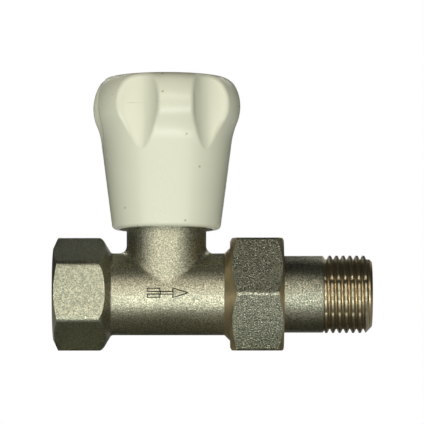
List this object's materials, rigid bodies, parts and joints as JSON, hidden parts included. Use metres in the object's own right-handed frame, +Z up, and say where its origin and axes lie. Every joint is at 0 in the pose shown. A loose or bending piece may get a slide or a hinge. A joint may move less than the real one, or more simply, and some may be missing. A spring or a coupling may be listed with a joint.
{
  "type": "radiator valve",
  "caption": "Straight manual radiator valve: plated brass body with pipe socket, union nut and threaded tailpiece, and a dimpled plastic handwheel that lifts a disc off its seat",
  "frame": {"origin": "centre of the pipe socket's mouth, on the pipe axis", "axes": "+X along the pipe from the socket towards the radiator, +Z up the spindle, +Y completes the right hand; the flow arrow's side faces -Y"},
  "size_m": [0.0862, 0.0408, 0.0748],
  "materials": {
    "plated_brass": "forged brass, sand-blasted and nickel-plated, satin",
    "bare_brass": "turned brass",
    "cream_plastic": "moulded cream-white plastic, glossy",
    "seal_rubber": "black nitrile rubber",
    "slip_plastic": "white slip plastic",
    "steel": "zinc-plated steel"
  },
  "bodies": {
    "valve_body": {"valve_body": "plated_brass", "bonnet": "bare_brass", "bonnet_o_ring": "seal_rubber", "gland_nut": "bare_brass", "gland_washer": "slip_plastic", "gland_o_ring": "seal_rubber"},
    "disc": {"valve_disc": "bare_brass", "disc_clip": "steel", "disc_seal": "seal_rubber", "disc_washer": "bare_brass", "disc_screw": "bare_brass"},
    "handwheel": {"handwheel": "cream_plastic", "handwheel_cap": "cream_plastic", "handwheel_screw": "steel", "handwheel_washer": "steel", "spindle": "bare_brass", "spindle_o_ring": "seal_rubber"},
    "tailpiece": {"tailpiece": "plated_brass", "tailpiece_o_ring": "seal_rubber"},
    "union_nut": {"union_nut": "plated_brass"}
  },
  "joints": [
    {"name": "disc_lift", "type": "slide", "parent": "valve_body", "child": "disc", "axis": [0, 0, 1], "range_m": [0, 0.004]},
    {"name": "handwheel_turn", "type": "hinge", "parent": "disc", "child": "handwheel", "pos_m": [0.0306, 0, 0.045], "axis": [0, 0, 1], "range_deg": [0, 720]},
    {"name": "tailpiece_draw", "type": "slide", "parent": "valve_body", "child": "tailpiece", "axis": [1, 0, 0], "range_m": [0, 0.00726]},
    {"name": "union_nut_turn", "type": "hinge", "parent": "tailpiece", "child": "union_nut", "pos_m": [0.0555, 0, 0], "axis": [1, 0, 0], "range_deg": [0, 1440]}
  ],
  "couplings": [
    {"joint": "disc_lift", "follows": "handwheel_turn", "m_per_rad": 0.00031831},
    {"joint": "tailpiece_draw", "follows": "union_nut_turn", "m_per_rad": 0.00028871}
  ]
}
